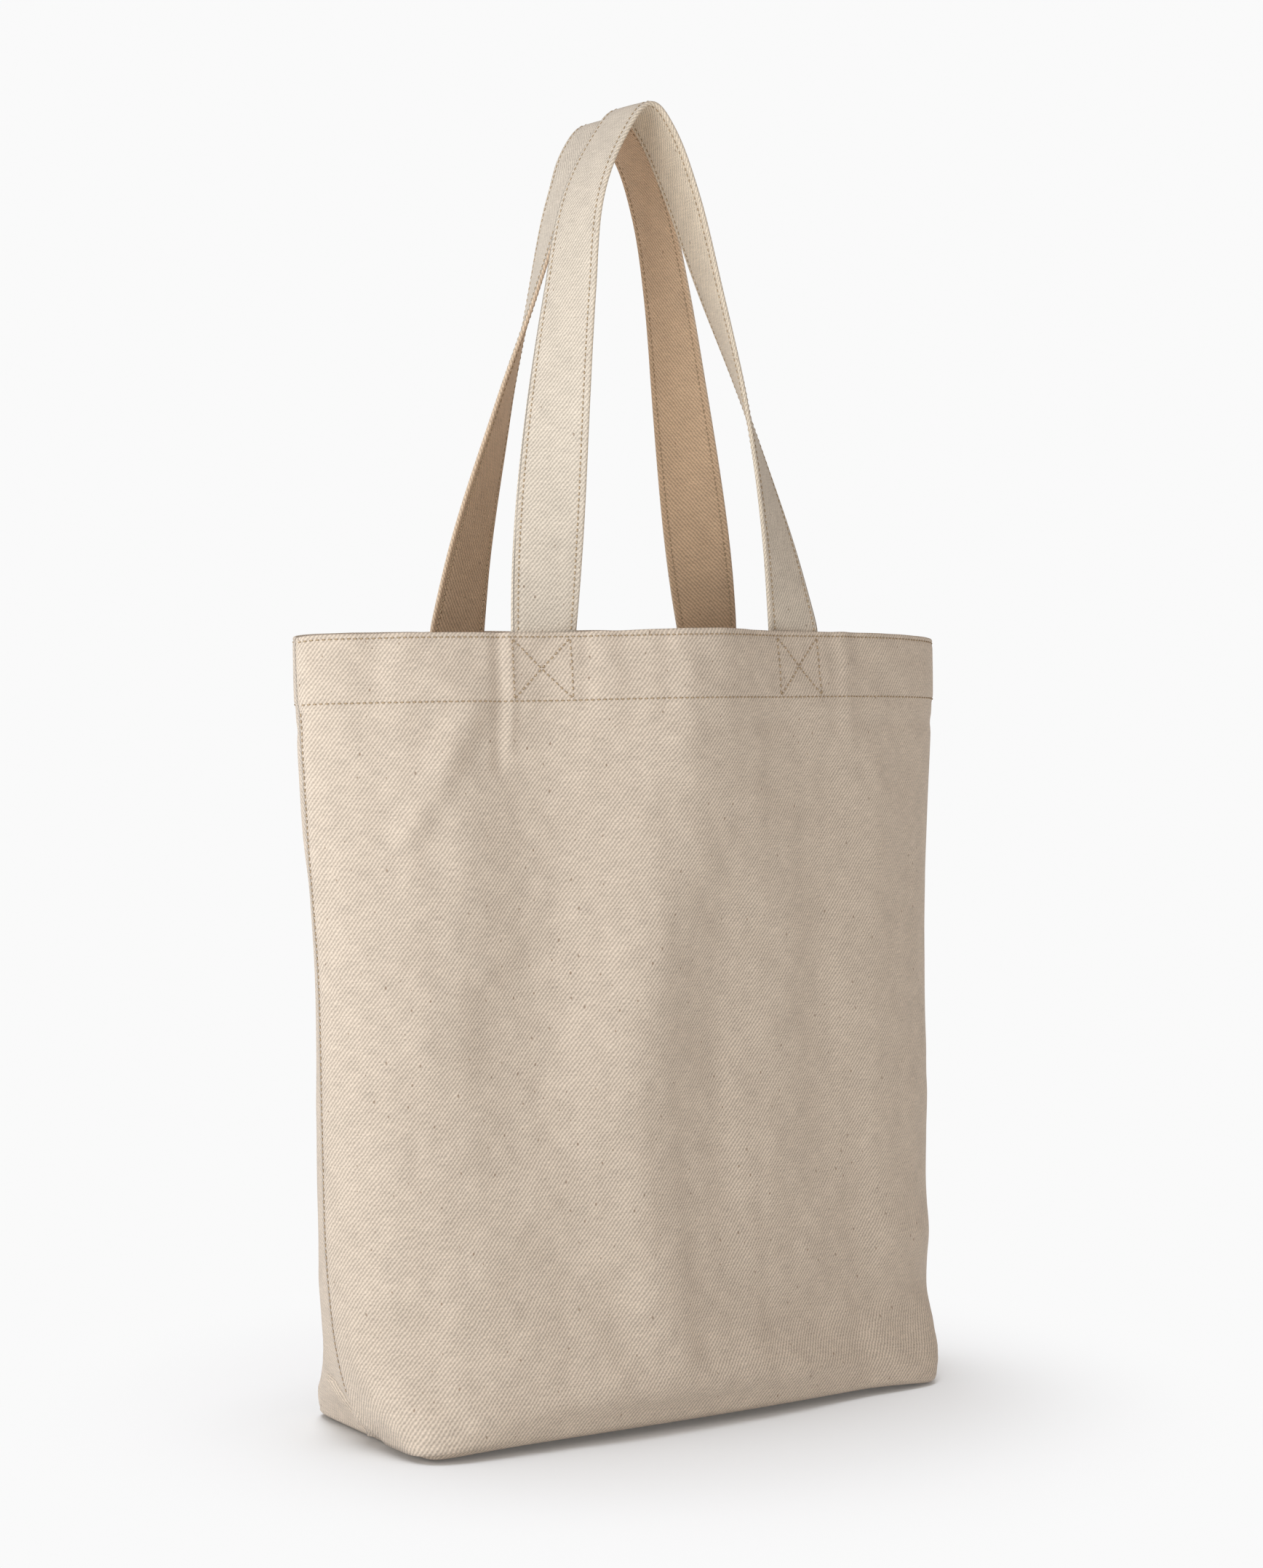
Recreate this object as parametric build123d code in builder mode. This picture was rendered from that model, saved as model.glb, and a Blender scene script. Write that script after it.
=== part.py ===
"""Canvas tote bag with a boxed base and two carrying handles.

Frame: +Z up, the origin is at the middle of the base where the bag stands, the front panel
faces -Y and the side seams are at -X (left) and +X (right). Millimetres.
"""

from build123d import *
from math import atan2, cos, degrees, hypot, pi, radians, sin
import os

# Driving sizes of the sewn bag
BAG_HEIGHT = 380.0
HEM_DEPTH = 33.0
CANVAS = 0.9
PLY_GAP = 0.1
SEAM_GAP = 0.1
SEAM_ALLOWANCE = 9.0
BASE_SEAM_REACH = 129.0
CORNER_SEAM_LENGTH = 80.0

# The body's level sections, from the base up: height, half width, half depth, squareness.
# A squareness of 2 is an ellipse, more is boxier and less is lens shaped.
BODY_SECTIONS = [
    (0.0, 143.5, 59.0, 6.0),
    (7.0, 149.0, 60.0, 4.5),
    (24.0, 160.0, 60.0, 3.2),
    (80.0, 167.5, 59.5, 2.5),
    (150.0, 169.5, 58.5, 2.3),
    (220.0, 172.0, 56.5, 2.1),
    (290.0, 177.5, 53.5, 1.85),
    (BAG_HEIGHT - HEM_DEPTH, 182.0, 50.5, 1.7),
    (BAG_HEIGHT, 186.5, 48.0, 1.6),
]
HALF_SECTION_POINTS = 15

# Handles
STRAP_WIDTH = 35.0
STRAP_THICKNESS = 2.6
STRAP_SPACING = 146.0
STRAP_SHIFT = -3.0
STRAP_END_RISE = 2.0
LOOP_HEIGHT = 260.5
LOOP_TOP_RADIUS = 33.0
LOOP_LEAN_X = -4.0
LEG_BOW = 2.5
APEX_SIDE_GAP = 2.0
HINGE_GAP = 0.4
LEG_STEPS = 9
TOP_STEPS = 12

# Stitching
THREAD_WIDTH = 0.7
THREAD_HEIGHT = 0.4
THREAD_GAP = 0.06
STRAP_THREAD_GAP = 0.15
EDGE_STITCH_DROP = 2.3
HEM_STITCH_RISE = 1.2
STRAP_STITCH_INSET = 3.0
SIDE_STITCH_OFFSET = 1.8
CROSS_WIDTH = 29.0

HEM_INSET = CANVAS + PLY_GAP
STRAP_INSET = 2 * HEM_INSET
STRAP_MIDDLE_INSET = STRAP_INSET + STRAP_THICKNESS / 2
HEM_BOTTOM = BAG_HEIGHT - HEM_DEPTH
SPAN = 500.0
HOLLOW_OVERRUN = 1.0


def section_sizes(height):
    """Half width, half depth and squareness at a height, between the listed sections."""
    for low, high in zip(BODY_SECTIONS, BODY_SECTIONS[1:]):
        if height <= high[0]:
            share = (height - low[0]) / (high[0] - low[0])
            return [a + (b - a) * share for a, b in zip(low[1:], high[1:])]
    return list(BODY_SECTIONS[-1][1:])


def wall_depth(x, height, inset=0.0):
    """Distance of the wall from the bag's middle plane at a place across its width."""
    half_width, half_depth, squareness = section_sizes(height)
    share = abs(x) / (half_width - inset)
    return (half_depth - inset) * (1 - share**squareness) ** (1 / squareness)


def wall_reach(y, height):
    """Half width of the bag's outside at a distance from the middle plane."""
    half_width, half_depth, squareness = section_sizes(height)
    return half_width * (1 - (abs(y) / half_depth) ** squareness) ** (1 / squareness)


def body_points(height, inset, gap=0.0):
    """Points along the back half of a level section, from its right end to its left end."""
    half_width, half_depth, squareness = section_sizes(height)
    points = [(half_width - inset, gap)]
    for i in range(1, HALF_SECTION_POINTS - 1):
        angle = pi / 2 * (1 - cos(pi * i / (HALF_SECTION_POINTS - 1)))
        across = abs(cos(angle)) ** (2 / squareness) * (1 if angle < pi / 2 else -1)
        out = sin(angle) ** (2 / squareness)
        points.append((across * (half_width - inset), gap + out * (half_depth - inset - gap)))
    return points + [(inset - half_width, gap)]


def half_section(height, inset, side, overrun=0.0):
    """One half of a level section, closed by a straight line, or past it by an overrun."""
    points = [(x, side * y) for x, y in body_points(height, inset, SEAM_GAP)]
    ends = (points[-1], points[0]) if overrun else ()
    corners = [(x, y - side * overrun) for x, y in ends]
    with BuildSketch(Plane.XY.offset(height)) as section:
        with BuildLine():
            Spline(*points)
            Polyline(points[-1], *corners, points[0])
        make_face()
    return section.sketch


def body_heights(low, high):
    """The listed section heights between two heights, and the two themselves."""
    return [low] + [row[0] for row in BODY_SECTIONS if low < row[0] < high] + [high]


def half_band(side, low, high, outer_inset, inner_inset, floor=0.0):
    """A band of cloth that follows one panel's wall, with a floor if it has a thickness."""
    heights = body_heights(low, high)
    with BuildPart() as band:
        loft(
            sections=[half_section(height, outer_inset, side) for height in heights],
            ruled=True,
        )
        loft(
            sections=[
                half_section(height, inner_inset, side, HOLLOW_OVERRUN)
                for height in [low + floor] + heights[1:]
            ],
            ruled=True,
            mode=Mode.SUBTRACT,
        )
    return band.part


def band_stretch(band, x_range):
    """The stretch of a band between two places across the bag's width."""
    low, high = x_range
    with BuildPart() as stretch:
        add(band)
        with Locations(((low + high) / 2, 0, 0)):
            Box(high - low, SPAN, 2 * SPAN, mode=Mode.INTERSECT)
    return stretch.part


def save(part, name):
    """Labels a finished piece and writes its STEP file."""
    part.label = name
    export_step(part, f"parts/{name}.step")


# The strap ends' places, by handle name and by which side of the bag they are on
HANDLE_SIDES = {"front": -1, "back": 1}
END_SIDES = {"left": -1, "right": 1}


def strap_x(end_side):
    """The place across the bag's width of one strap's middle, at the mouth."""
    return STRAP_SHIFT + end_side * STRAP_SPACING / 2


def strap_span(end_side):
    """Limits across the bag's width of one strap end."""
    return (strap_x(end_side) - STRAP_WIDTH / 2, strap_x(end_side) + STRAP_WIDTH / 2)


# ---------------------------------------------------------------- canvas body


def make_panel(name, side):
    """One of the two panels: half of the open shell, with half of the base."""
    save(half_band(side, 0, BAG_HEIGHT, 0, CANVAS, floor=CANVAS), name)


def make_hem(name, side):
    """The panel's turned-down edge, a second ply inside the mouth."""
    save(half_band(side, HEM_BOTTOM, BAG_HEIGHT, HEM_INSET, HEM_INSET + CANVAS), name)


def make_side_seam(name, end_side):
    """The seam allowance of two plies that stands inward along one side, inside."""
    low = BODY_SECTIONS[2][0]
    with BuildPart() as seam:
        for height in body_heights(low, HEM_BOTTOM - PLY_GAP):
            outer_x = section_sizes(height)[0] - HEM_INSET - CANVAS
            with BuildSketch(Plane.XY.offset(height)):
                with Locations((end_side * (outer_x - SEAM_ALLOWANCE / 2), 0)):
                    Rectangle(SEAM_ALLOWANCE, 2 * CANVAS)
        loft(ruled=True)
    save(seam.part, name)


def make_floor_seam(name, middle_x, length, width):
    """A seam allowance that lies on the base, inside."""
    with BuildPart() as seam:
        with BuildSketch(Plane.XY.offset(HEM_INSET)):
            with Locations((middle_x, 0)):
                Rectangle(length, width)
        extrude(amount=CANVAS)
    save(seam.part, name)


# ---------------------------------------------------------------- handles


def loop_plane():
    """The leaning plane of the front handle's loop: x across the bag, y up the handle."""
    foot_y = -wall_depth(STRAP_SPACING / 2, BAG_HEIGHT, STRAP_MIDDLE_INSET)
    apex_y = -(STRAP_WIDTH + APEX_SIDE_GAP) / 2
    up = Vector(0, apex_y - foot_y, LOOP_HEIGHT).normalized()
    normal = Vector(1, 0, 0).cross(up)
    foot = (STRAP_SHIFT, foot_y, BAG_HEIGHT + HINGE_GAP)
    return Plane(origin=foot, x_dir=(1, 0, 0), z_dir=normal)


def loop_path():
    """The strap's middle line: two slightly bowed legs and a round top."""
    foot = STRAP_SPACING / 2
    rise = LOOP_HEIGHT - LOOP_TOP_RADIUS
    slope = atan2(foot - LOOP_TOP_RADIUS, rise)
    shoulder_x = LOOP_TOP_RADIUS * cos(slope)
    shoulder_y = rise + LOOP_TOP_RADIUS * sin(slope)
    with BuildLine(loop_plane()) as path:
        left = (LOOP_LEAN_X - shoulder_x, shoulder_y)
        right = (LOOP_LEAN_X + shoulder_x, shoulder_y)
        bow_y = shoulder_y / 2
        left_bow = ((left[0] - foot) / 2 - LEG_BOW, bow_y)
        right_bow = ((right[0] + foot) / 2 + LEG_BOW, bow_y)
        ThreePointArc((-foot, 0), left_bow, left)
        ThreePointArc(left, (LOOP_LEAN_X, LOOP_HEIGHT), right)
        ThreePointArc(right, right_bow, (foot, 0))
    return path.wire()


def foot_twist():
    """How far the strap is already turned at its foot, where it follows the curved wall."""
    x = STRAP_SPACING / 2
    step = 1.0
    fall = wall_depth(x - step, BAG_HEIGHT) - wall_depth(x + step, BAG_HEIGHT)
    return degrees(atan2(fall, 2 * step))


def strap_plane(path, share):
    """The strap's cross-section plane: its x axis across the strap, its y axis inward."""
    ahead = path % share
    if share in (0, 1):
        ahead = Vector(0, 0, 1 - 2 * share)
    normal = loop_plane().z_dir
    from_foot = 1 - abs(1 - 2 * share)
    turn = radians(90 - (90 - foot_twist()) * (1 - from_foot) ** 2)
    width_dir = ahead.cross(normal) * cos(turn) + normal * sin(turn)
    return Plane(origin=path @ share, x_dir=width_dir, z_dir=ahead)


def loop_shares(path):
    """Places along the loop for its sections, closer together round its top."""
    leg = path.edges()[0].length / path.length
    top = 1 - 2 * leg
    rising = [leg * i / LEG_STEPS for i in range(LEG_STEPS)]
    over = [leg + top * i / TOP_STEPS for i in range(TOP_STEPS)]
    falling = [1 - leg * i / LEG_STEPS for i in range(LEG_STEPS, -1, -1)]
    return rising + over + falling


def loop_strip(path, side, width, thickness, place=(0, 0)):
    """A strip that follows the loop, set off from the strap's middle line by a place."""
    sections = []
    for share in loop_shares(path):
        with BuildSketch(strap_plane(path, share)) as section:
            with Locations(place):
                Rectangle(width, thickness)
        sections.append(section.sketch)
    with BuildPart() as strip:
        loft(sections=sections, ruled=True)
        if side > 0:
            mirror(about=Plane.XZ, mode=Mode.REPLACE)
    return strip.part


def make_handle(name, side):
    """One handle's loop above the mouth: a flat folded strap that turns a quarter each way."""
    save(loop_strip(loop_path(), side, STRAP_WIDTH, STRAP_THICKNESS), name)


def make_handle_stitching(name, side):
    """Two rows of topstitching along the outer face of one handle's loop."""
    rise = STRAP_THICKNESS / 2 + STRAP_THREAD_GAP + THREAD_HEIGHT / 2
    across = STRAP_WIDTH / 2 - STRAP_STITCH_INSET
    with BuildPart() as stitching:
        for place in ((-across, -rise), (across, -rise)):
            add(loop_strip(loop_path(), side, THREAD_WIDTH, THREAD_HEIGHT, place))
    save(stitching.part, name)


def make_strap_end(name, side, end_side):
    """A strap's sewn-in end, flat against the inside of the hem."""
    low = HEM_BOTTOM + STRAP_END_RISE
    band = half_band(side, low, BAG_HEIGHT, STRAP_INSET, STRAP_INSET + STRAP_THICKNESS)
    save(band_stretch(band, strap_span(end_side)), name)


# ---------------------------------------------------------------- stitching on the body


def make_hem_row(name, height):
    """A row of stitching all round the outside of the mouth."""
    low = height - THREAD_WIDTH / 2
    with BuildPart() as row:
        for side in HANDLE_SIDES.values():
            outside = -THREAD_GAP - THREAD_HEIGHT
            add(half_band(side, low, low + THREAD_WIDTH, outside, -THREAD_GAP))
    save(row.part, name)


def make_side_row(name, end_side):
    """The row of stitching down one side, just in front of the seam."""
    near_y = SIDE_STITCH_OFFSET - THREAD_WIDTH / 2
    with BuildPart() as row:
        for height in body_heights(BODY_SECTIONS[2][0], HEM_BOTTOM - HEM_STITCH_RISE):
            x = wall_reach(near_y, height) + THREAD_GAP + THREAD_HEIGHT / 2
            with BuildSketch(Plane.XY.offset(height)):
                with Locations((end_side * x, -SIDE_STITCH_OFFSET)):
                    Rectangle(THREAD_HEIGHT, THREAD_WIDTH)
        loft(ruled=True)
    save(row.part, name)


def make_cross(name, side, end_side):
    """The crossed stitching that holds one strap end: two uprights and two diagonals."""
    low = HEM_BOTTOM + HEM_STITCH_RISE + THREAD_WIDTH
    high = BAG_HEIGHT - EDGE_STITCH_DROP - THREAD_WIDTH
    tall = high - low
    uprights = [(-CROSS_WIDTH / 2, tall, 90), (CROSS_WIDTH / 2, tall, 90)]
    lean = degrees(atan2(tall, CROSS_WIDTH))
    diagonal = hypot(tall, CROSS_WIDTH) - THREAD_WIDTH
    with BuildPart() as cross:
        with BuildSketch(Plane.XZ):
            for x, length, angle in uprights + [(0, diagonal, lean), (0, diagonal, -lean)]:
                with Locations((strap_x(end_side) + x, (low + high) / 2)):
                    Rectangle(length, THREAD_WIDTH, rotation=angle)
        extrude(amount=-side * SPAN)
        band = half_band(side, low - 1, high + 1, -THREAD_GAP - THREAD_HEIGHT, -THREAD_GAP)
        add(band, mode=Mode.INTERSECT)
    save(cross.part, name)


def main():
    os.makedirs("parts", exist_ok=True)
    for handle, side in HANDLE_SIDES.items():
        make_panel(f"{handle}_panel", side)
        make_hem(f"{handle}_hem", side)
        make_handle(f"{handle}_handle", side)
        make_handle_stitching(f"{handle}_handle_stitching", side)
        for end, end_side in END_SIDES.items():
            make_strap_end(f"{handle}_handle_{end}_end", side, end_side)
            make_cross(f"{handle}_{end}_cross_stitching", side, end_side)
    for end, end_side in END_SIDES.items():
        make_side_seam(f"{end}_side_seam", end_side)
        make_side_row(f"{end}_side_stitching", end_side)
        corner_x = end_side * (BASE_SEAM_REACH + SEAM_ALLOWANCE / 2 + PLY_GAP)
        make_floor_seam(f"{end}_corner_seam", corner_x, SEAM_ALLOWANCE, CORNER_SEAM_LENGTH)
    make_floor_seam("base_seam", 0, 2 * BASE_SEAM_REACH, 2 * SEAM_ALLOWANCE)
    make_hem_row("hem_edge_stitching", BAG_HEIGHT - EDGE_STITCH_DROP)
    make_hem_row("hem_lower_stitching", HEM_BOTTOM + HEM_STITCH_RISE)


main()
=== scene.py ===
"""Canvas tote bag: the visible cloth, straps and stitching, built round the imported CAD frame.

Metres, +Z up, front panel towards -Y. The origin is the middle of the base.
"""

import bpy
import numpy as np
from math import cos, pi, radians, sin, sqrt
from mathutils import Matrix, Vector


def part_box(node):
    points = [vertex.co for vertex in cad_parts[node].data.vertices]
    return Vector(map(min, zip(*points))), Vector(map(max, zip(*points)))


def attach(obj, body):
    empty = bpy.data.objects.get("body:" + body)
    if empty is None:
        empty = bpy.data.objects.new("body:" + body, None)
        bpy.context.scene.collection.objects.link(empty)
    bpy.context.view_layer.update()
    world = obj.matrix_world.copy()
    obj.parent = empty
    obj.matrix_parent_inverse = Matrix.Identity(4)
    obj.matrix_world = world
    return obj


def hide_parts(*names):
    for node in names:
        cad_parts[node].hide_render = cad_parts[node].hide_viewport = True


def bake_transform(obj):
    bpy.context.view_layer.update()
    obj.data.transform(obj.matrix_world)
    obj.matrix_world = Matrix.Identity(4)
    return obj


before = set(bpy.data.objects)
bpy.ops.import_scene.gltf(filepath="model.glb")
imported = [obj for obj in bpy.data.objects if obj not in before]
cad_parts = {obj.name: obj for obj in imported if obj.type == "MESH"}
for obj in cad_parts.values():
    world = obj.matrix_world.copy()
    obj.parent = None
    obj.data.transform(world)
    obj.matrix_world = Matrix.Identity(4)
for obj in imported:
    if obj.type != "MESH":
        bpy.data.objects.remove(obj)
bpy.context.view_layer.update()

MM = 0.001

# Sizes read from the frame
BAG_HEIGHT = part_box("front_panel")[1][2]
MOUTH_HALF_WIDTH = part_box("front_panel")[1][0]
HEM_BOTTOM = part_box("front_hem")[0][2]
STRAP_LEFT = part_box("front_handle_left_end")
STRAP_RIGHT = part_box("front_handle_right_end")
STRAP_WIDTH = STRAP_LEFT[1][0] - STRAP_LEFT[0][0]
STRAP_SPACING = STRAP_RIGHT[0][0] - STRAP_LEFT[0][0]
STRAP_SHIFT = (STRAP_RIGHT[0][0] + STRAP_LEFT[1][0]) / 2
STRAP_END_BOTTOM = STRAP_LEFT[0][2]
SIDE_STITCH_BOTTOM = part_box("left_side_stitching")[0][2]
BODY_SEAMS = ("left_side_seam", "right_side_seam", "base_seam", "left_corner_seam", "right_corner_seam")

# Cloth: its thickness, the radius of the fold over the mouth, how far the turned hem lies inside
# the wall, the base edge's radius and the least distance from the middle plane at the seams
CANVAS = 0.9 * MM
FOLD_RADIUS = 1.0 * MM
HEM_INSET = 2 * FOLD_RADIUS
BASE_RADIUS = 4.0 * MM
SEAM_GAP = 0.12 * MM
FOLD_START = BAG_HEIGHT - FOLD_RADIUS

# The grid of a panel: steps across it, up the wall, across the base, and in the hem, whose finer
# rows start a little below it. The flat width is measured at one height, about half way up.
COLUMN_STEP = 2.2 * MM
ROW_STEP = 2.6 * MM
BASE_ROW_STEP = 3.9 * MM
HEM_ROW_STEP = 1.1 * MM
HEM_ROW_MARGIN = 5.0 * MM
BASE_EDGE_ROWS = 6
FOLD_ROWS = 7
TURNED_ROWS = 16
RAW_EDGE_DROP = 0.3 * MM
WIDTH_HEIGHT = 0.2
SECTION_SAMPLES = 1201

# Straps: the trim is what their edges lose on each side, and the tuck draws the back handle's
# left leg in behind the front one
STRAP_THICKNESS = 2.6 * MM
STRAP_INSET = HEM_INSET + STRAP_THICKNESS / 2 + 0.1 * MM
STRAP_TRIM = 0.8 * MM
STRAP_HALF_WIDTH = STRAP_WIDTH / 2 - STRAP_TRIM
STRAP_STEP = 2.5 * MM
BACK_STRAP_TUCK = 4.0 * MM
BACK_STRAP_TUCK_STARTS = (115 * MM, 170 * MM)
BACK_STRAP_TUCK_ENDS = (222 * MM, 246 * MM)
STRAP_STITCH_INSET = 3.2 * MM
STRAP_STITCH_SINK = 0.38 * MM
STRAP_GROOVE = 0.28 * MM
STRAP_CROWN = 0.25 * MM
STRAP_FLATTENING = 0.2 * MM
# The share of the inside's painted shade and bounce light that the strap's edges take
STRAP_EDGE_PAINTED_LIGHT = 0.7

# Stitching
STITCH_PITCH = 2.9 * MM
STITCH_LENGTH = 2.0 * MM
THREAD_RADIUS = 0.34 * MM
THREAD_RINGS = 7
THREAD_SIDES = 6
STITCH_LIFT = 0.05 * MM
EDGE_STITCH_DROP = 2.3 * MM
HEM_STITCH_RISE = 0.7 * MM
EDGE_STITCH_HEIGHT = BAG_HEIGHT - EDGE_STITCH_DROP
HEM_STITCH_HEIGHT = HEM_BOTTOM + HEM_STITCH_RISE
SIDE_STITCH_OFFSET = 2.6 * MM
CROSS_WIDTH = 29.0 * MM
CROSS_MARGIN = 0.8 * MM
MOUTH_ROW_MARGIN = 0.6 * MM

# The body's level sections, from the base up: height, half width, half depth, squareness (2 is
# an ellipse, more is boxier, less is lens shaped) and how far the section has slipped sideways
BODY_SECTIONS = np.array([
    (0, 148.5, 59.5, 15.0, 2.0),
    (7, 152.0, 60.0, 11.0, 2.0),
    (24, 159.5, 60.0, 5.2, 2.5),
    (80, 168.5, 59.5, 2.8, 2.0),
    (150, 172.0, 58.5, 2.4, 1.8),
    (220, 174.5, 56.5, 2.1, 1.5),
    (290, 180.6, 53.5, 1.85, 0.5),
    (347, 185.0, 50.5, 1.7, 0.5),
    (380, 186.0, 48.0, 1.6, 0.0),
])

# How much further than the section the foot of the front wall bulges, and how high that reaches
FOOT_BULGE = {"front": 0.15, "back": 0.06}
FOOT_BULGE_MIDDLE = -30.0 * MM
FOOT_BULGE_REACH = 0.72 * MOUTH_HALF_WIDTH
FOOT_BULGE_HEIGHT = 200.0 * MM
FOOT_BULGE_AT_FLOOR = 0.72

# How far the long edges of the base arch off the floor between the corners
BASE_ARCH = {"front": 3.6 * MM, "back": 2.0 * MM}
BASE_ARCH_HEIGHT = 40.0 * MM

# How far the mouth hangs down in its middle, at each end, and at its two sharp corners
MOUTH_DROOP = {"middle": -0.8 * MM, "left": 1.2 * MM, "right": 3.0 * MM, "corner": 1.6 * MM}
MOUTH_DROOP_HEIGHT = 90.0 * MM

# Each loop's middle line as it hangs, seen square on: across from the bag's middle, and above the
# mouth. The legs are almost straight and the tops are pinched together by their own stiffness.
LOOPS = {
    "front": [(-72, 0), (-68, 40), (-60, 105), (-50.5, 165), (-41, 212), (-26, 241), (-9, 259),
              (2, 247), (15, 218), (30, 170), (48, 113), (64, 45), (71, 0)],
    "back": [(-78, 0), (-72, 42), (-56.5, 112), (-42, 178), (-31.5, 217), (-21, 240), (-6, 256),
             (11, 242), (25, 213), (36, 173), (47, 118), (61, 45), (69.5, 0)],
}

# How each leg turns from lying flat on the wall to standing on edge at the top: above one most of
# the turn is near the foot, below one it is near the top. Left leg, then right leg.
TURNING = {"front": (1.7, 1.7), "back": (1.25, 2.0)}

# Soft folds in the walls: the ridge line's points (across, up), then the half width and how far
# the cloth stands out. Negative ones are valleys. All in millimetres.
FOLDS = {
    "front": [
        ([(-97, 385), (-98, 318)], 3.5, -1.8),
        ([(-92, 385), (-92, 348), (-93, 326)], 2.4, 1.1),
        ([(-54, 385), (-55, 345)], 3.5, -0.9),
        ([(-44, 385), (-42, 340)], 5.5, 0.9),
        ([(-16, 385), (-18, 345)], 4.0, -0.6),
        ([(-5, 385), (-6, 345)], 4.5, 0.5),
        ([(36, 385), (35, 345)], 4.0, -0.6),
        ([(46, 385), (47, 338)], 4.5, 0.6),
        ([(96, 385), (96, 335)], 4.5, -0.8),
        ([(104, 385), (105, 330)], 5.0, 0.8),
        ([(-78, 400), (-84, 240), (-96, 180)], 26, -4.0),
        ([(14, 400), (8, 300), (-14, 225), (-44, 165)], 32, 5.0),
        ([(-150, 2), (-116, 27), (-96, 62), (-84, 108)], 22, 2.6),
        ([(6, 400), (10, 285)], 42, 5.6),
        ([(-14, 400), (-16, 330)], 26, 4.6),
        ([(-186, 335), (186, 335)], 3.5, -0.6),
        ([(-162, 338), (-132, 336)], 4.0, -0.9),
        ([(-128, 341), (-112, 337)], 4.5, 0.7),
        ([(-88, 339), (-60, 339)], 4.0, -0.8),
        ([(-20, 338), (8, 340)], 4.5, -0.5),
        ([(60, 339), (84, 338)], 4.0, -0.5),
        ([(-112, 342), (-124, 322), (-142, 288)], 8.0, 2.3),
        ([(-101, 342), (-114, 314), (-127, 296)], 7.0, -0.9),
        ([(-155, 376), (-158, 352)], 9.0, -1.4),
        ([(-40, 250), (-10, 246), (30, 252)], 4.0, -0.35),
        ([(-110, 236), (-70, 231)], 3.0, -0.4),
        ([(-100, 222), (-60, 219)], 3.5, -0.35),
    ],
    "back": [
        ([(-186, 335), (186, 335)], 3.5, -0.6),
        ([(-164, 260), (-158, 170), (-154, 95), (-150, 30)], 22, -2.2),
        ([(-100, 385), (-98, 325)], 4.5, -1.2),
        ([(-56, 385), (-58, 345)], 5.0, 0.8),
        ([(40, 385), (42, 335)], 5.0, -0.9),
        ([(100, 385), (104, 320)], 5.0, 1.3),
        ([(76, 400), (84, 240), (96, 180)], 26, -3.0),
        ([(-6, 400), (10, 300), (30, 200), (70, 120)], 32, 5.0),
        ([(-134, 250), (-128, 40)], 16, 1.6),
        ([(165, 24), (158, 8), (150, 1)], 3.0, -1.8),
    ],
}

# Short creases across the foot of each side seam, where the corner was boxed. Here across is the
# distance from the seam, onto the front wall if positive and onto the back wall if negative.
CORNER_CREASES = [
    ([(-16, 26), (-5, 14), (4, 8), (16, 3)], 3.2, -2.4),
    ([(2, 15), (14, 9)], 4.0, 1.2),
]

# Sewn lines: the groove along a seam, the swelling beside it, the dip under a row of stitches and
# the step where the hem's extra layers begin
SEAM_DIP = 0.9 * MM
SEAM_DIP_WIDTH = 1.8 * MM
SEAM_RISE = 0.5 * MM
SEAM_RISE_PLACE = 5.5 * MM
SEAM_RISE_WIDTH = 3.0 * MM
STITCH_DIP = 0.45 * MM
STITCH_DIP_WIDTH = 1.0 * MM
HEM_STEP = 0.7 * MM

# The small uneven waves of handled canvas: each set's length in millimetres and its height
CRUMPLE_WAVES = ((70, 0.275 * MM), (38, 0.143 * MM), (21, 0.0715 * MM), (12, 0.033 * MM))
CRUMPLE_COUNT = 7
CRUMPLE_SEED = 7
CRUMPLE_MEANDER = 0.8

# The cloth simulation: its coarse grid, how long it runs, and its physics. The little shrinkage
# below zero is the slack in the cloth, and the group named hold keeps its rim in place.
SETTLE_COLUMNS = 64
SETTLE_ROWS = 56
SETTLE_FRAMES = 24
SETTLE_PHYSICS = {
    "quality": 6,
    "mass": 0.35,
    "tension_stiffness": 20,
    "compression_stiffness": 20,
    "shear_stiffness": 8,
    "bending_stiffness": 25,
    "air_damping": 4,
    "shrink_min": -0.0008,
    "vertex_group_mass": "hold",
}

# Which way each panel faces, and on which hand each end lies
SIDES = {"front": -1, "back": 1}
ENDS = {"left": -1, "right": 1}


# -------------------- small helpers


def configure(thing, **settings):
    """A thing with its settings made."""
    for key, value in settings.items():
        setattr(thing, key, value)
    return thing


def smooth_step(value, low, high):
    """From 0 at the low value to 1 at the high one, level at both."""
    share = np.clip((value - low) / (high - low), 0.0, 1.0)
    return share * share * (3 - 2 * share)


def unit(vectors):
    """Vectors scaled to a length of one."""
    length = np.linalg.norm(vectors, axis=-1, keepdims=True)
    return vectors / np.maximum(length, 1e-12)


def hermite(x, xs, ys):
    """A smooth curve through points, with no overshoot between them."""
    slopes = np.diff(ys) / np.diff(xs)
    tangents = np.concatenate([slopes[:1], (slopes[:-1] + slopes[1:]) / 2, slopes[-1:]])
    flat = np.concatenate([[False], slopes[:-1] * slopes[1:] <= 0, [False]])
    tangents[flat] = 0.0
    i = np.clip(np.searchsorted(xs, x) - 1, 0, len(xs) - 2)
    width = xs[i + 1] - xs[i]
    t = np.clip((x - xs[i]) / width, 0, 1)
    a = (1 + 2 * t) * (1 - t) ** 2 * ys[i] + t * t * (3 - 2 * t) * ys[i + 1]
    b = t * (1 - t) ** 2 * width * tangents[i] - t * t * (1 - t) * width * tangents[i + 1]
    return a + b


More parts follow.
